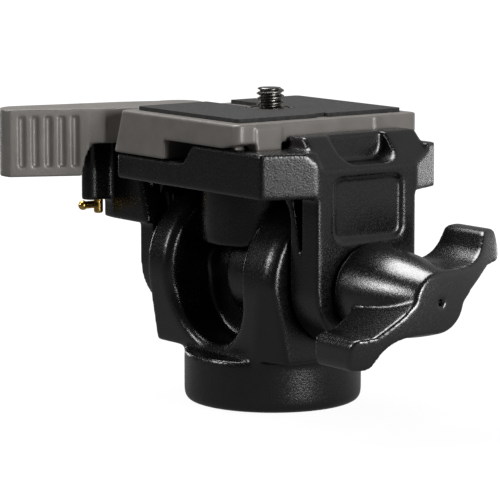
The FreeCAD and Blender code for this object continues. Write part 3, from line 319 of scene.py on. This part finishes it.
# The thread is trimmed to the blank that it is cut from: a rod of the full diameter, chamfered at its end.
crest_gap, blank_spare = 0.02 * MM, 0.05 * MM
blank_length = screw_high.z - thread_start + core_sink + blank_spare
blank_middle = screw_high.z - blank_length / 2
blank = rod_on_axis(sides=64, radius=thread_radius + crest_gap, length=blank_length, middle=blank_middle)
chamfer = blank.modifiers.new("chamfer", "BEVEL")
chamfer.width = 0.5 * MM
chamfer.segments = 1
bpy.ops.object.modifier_apply(modifier="chamfer")

# The plain end of the simple screw makes room for the threaded one.
plain_end = rod_on_axis(sides=32, radius=2 * thread_radius, length=2 * core_length,
                        middle=thread_start + core_length)
threaded_screw = taken_from("camera_screw", "threaded_screw")
for piece, kind, other in ((core, "UNION", ridge), (core, "INTERSECT", blank),
                           (threaded_screw, "DIFFERENCE", plain_end), (threaded_screw, "UNION", core)):
    bpy.context.view_layer.objects.active = piece
    cut = piece.modifiers.new("cut", "BOOLEAN")
    cut.operation = kind
    cut.solver = "EXACT"
    cut.object = other
    bpy.ops.object.modifier_apply(modifier="cut")
    bpy.data.objects.remove(other, do_unlink=True)
crease = math.radians(35)
pick(threaded_screw)
bpy.ops.object.shade_smooth_by_angle(angle=crease)
finished(threaded_screw, "camera_screw", "screw", bright_steel)


# The collar round the screw is pressed from thin steel sheet, and a spring-steel ring holds the screw in
# the plate. Both are as bright as the screw.
for name in ("screw_collar", "screw_clip"):
    paint(nodes[name], bright_steel)


# The head is held on the base by a zinc-plated steel bolt through both, whose hexagon sits in the left
# ear. A washer of the same steel lies under the knob.
plated_steel = coat("zinc_plated_steel", dark=(0.42, 0.40, 0.37), light=(0.5, 0.48, 0.45),
                    sheen=0.3, dull=0.42, grain=3500.0, relief=0.01 * MM, metallic=1.0)
for name in ("pivot_bolt", "knob_washer"):
    paint(nodes[name], plated_steel)


# Discs punched from milky nylon sheet lie between the base and the ears, and bushes of the same nylon
# carry the bolt, so that the head turns without play.
milky_nylon = coat("milky_nylon", dark=(0.62, 0.6, 0.55), light=(0.7, 0.68, 0.62),
                   sheen=0.45, dull=0.55, grain=2500.0, relief=0.01 * MM)
for name in ("friction_disc_left", "friction_disc_right", "bolt_bush_left", "bolt_bush_right"):
    paint(nodes[name], milky_nylon)


# The lever turns on a shoulder screw with a washer and a torsion spring, and a small dowel is pressed into
# its underside. These and the trigger's spring are zinc-plated steel too.
for name in ("lever_pivot_screw", "lever_washer", "lever_spring", "trigger_spring", "lever_dowel"):
    paint(nodes[name], plated_steel)


# The safety catch and its bush, the plunger under the plate and the threaded inserts of the knob and the
# socket are turned in brass and left bare, so they are polished where hands reach and browner elsewhere.
turned_brass = coat("turned_brass", dark=(0.52, 0.31, 0.07), light=(0.74, 0.5, 0.16),
                    sheen=0.16, dull=0.3, grain=2200.0, relief=0.01 * MM, patches=420.0, metallic=1.0)
for name in ("safety_catch", "trigger_plunger", "knob_insert", "catch_bush", "socket_insert"):
    paint(nodes[name], turned_brass)


# The floor is a sheet of white card. The camera sees it as plain white with a faint shadow round the
# collar. For glossy rays the card glows, dim in front and brighter towards the back: a painted reflection.
def worked_out(steps, links, operation, first, second):
    """Join two values, each a socket or a plain number, by a step of arithmetic."""
    made = steps.new("ShaderNodeMath")
    made.operation = operation
    for socket, value in zip(made.inputs, (first, second)):
        if isinstance(value, float):
            socket.default_value = value
        else:
            links.new(value, socket)
    return made.outputs["Value"]


def far_along(steps, links, place, direction):
    """How far a place lies along a direction."""
    made = steps.new("ShaderNodeVectorMath")
    made.operation = "DOT_PRODUCT"
    made.inputs[1].default_value = direction
    links.new(place, made.inputs[0])
    return made.outputs["Value"]


def white_backdrop(steps, links, mirrored):
    """Full strength for the camera and through glass, as much as is given for mirrored rays, else none."""
    seen = steps.new("ShaderNodeLightPath")
    shown = worked_out(steps, links, "MAXIMUM", seen.outputs["Is Camera Ray"],
                       seen.outputs["Is Transmission Ray"])
    gloss = worked_out(steps, links, "MULTIPLY", seen.outputs["Is Glossy Ray"], mirrored)
    return worked_out(steps, links, "MAXIMUM", shown, gloss)


card_width, card_drop, paper_tone = 6, 0.2 * MM, 0.06
bright_side = (0.35, 0.94, 0)
bpy.ops.object.select_all(action="DESELECT")
bpy.ops.mesh.primitive_plane_add(size=card_width, location=(0, 0, -card_drop))
floor = bpy.context.object
floor.name = "white_card"
card, steps, links = new_material("white_card")
place = steps.new("ShaderNodeTexCoord").outputs["Object"]
# Painted reflection: the card glows for mirrored rays, more strongly towards the back.
behind = far_along(steps, links, place, bright_side)
mirrored = graded(steps, links, behind, ends=(-250 * MM, 250 * MM), results=(0.02, 0.35))
white = white_backdrop(steps, links, mirrored)

# The glow is a little weaker near the collar, a painted shade round it, so that the faint real shadow
# shows too.
away = steps.new("ShaderNodeVectorMath")
away.operation = "LENGTH"
links.new(place, away.inputs[0])
painted_shade_round_collar = graded(steps, links, away.outputs["Value"], ends=(30 * MM, 260 * MM), results=(0.96, 1.03))
glow = steps.new("ShaderNodeEmission")
glow.inputs["Color"].default_value = (1, 1, 1, 1)
links.new(worked_out(steps, links, "MULTIPLY", white, painted_shade_round_collar), glow.inputs["Strength"])
paper = steps.new("ShaderNodeBsdfDiffuse")
paper.inputs["Color"].default_value = (paper_tone, paper_tone, paper_tone, 1)
both = steps.new("ShaderNodeAddShader")
links.new(paper.outputs["BSDF"], both.inputs[0])
links.new(glow.outputs["Emission"], both.inputs[1])
output = steps.new("ShaderNodeOutputMaterial")
links.new(both.outputs["Shader"], output.inputs["Surface"])
floor.data.materials.append(card)


# The room is white to the camera as well. For glossy pieces it is brighter on the same side as the card,
# and a faint light from all round fills the shadows.
fill_light = 0.06
world = bpy.data.worlds.new("studio")
world.use_nodes = True
bpy.context.scene.world = world
steps, links = world.node_tree.nodes, world.node_tree.links
steps.clear()
place = steps.new("ShaderNodeTexCoord").outputs["Generated"]
behind = far_along(steps, links, place, bright_side)
mirrored = graded(steps, links, behind, ends=(-0.1, 0.9), results=(0.03, 0.55))
white = white_backdrop(steps, links, mirrored)
room = steps.new("ShaderNodeBackground")
room.inputs["Color"].default_value = (1, 1, 1, 1)
links.new(worked_out(steps, links, "MAXIMUM", white, fill_light), room.inputs["Strength"])
output = steps.new("ShaderNodeOutputWorld")
links.new(room.outputs["Background"], output.inputs["Surface"])


# The lamps are softboxes, all facing the middle of the head: one high above, the main one low on the
# knob's side, one in front on the left, and two weak ones that light the edges at the back and the left.
def softbox(name, azimuth, height, away, size, power):
    """An oblong lamp, placed by two angles in degrees and its distance in metres."""
    data = bpy.data.lights.new(name, "AREA")
    data.shape = "RECTANGLE"
    data.size, data.size_y = size
    data.energy = power
    made = bpy.data.objects.new(name, data)
    flat = away * math.cos(math.radians(height))
    made.location = (flat * math.cos(math.radians(azimuth)), flat * math.sin(math.radians(azimuth)),
                     away * math.sin(math.radians(height)))
    made.rotation_euler = (head_middle - made.location).to_track_quat("-Z", "Y").to_euler()
    bpy.context.scene.collection.objects.link(made)


head_middle = Vector((0, 0, 40 * MM))
softbox("top_softbox", azimuth=-170, height=68, away=0.95, size=(0.6, 0.6), power=11.5)
softbox("main_softbox", azimuth=2, height=11, away=1.0, size=(0.34, 0.42), power=7.6)
softbox("front_left_softbox", azimuth=-118, height=24, away=0.95, size=(0.24, 0.24), power=2.6)
softbox("back_edge_light", azimuth=86, height=4.7, away=0.318, size=(0.05, 0.04), power=0.04)
softbox("left_edge_light", azimuth=176, height=5, away=0.9, size=(0.25, 0.3), power=1.0)

bpy.context.scene.view_settings.view_transform = "Standard"
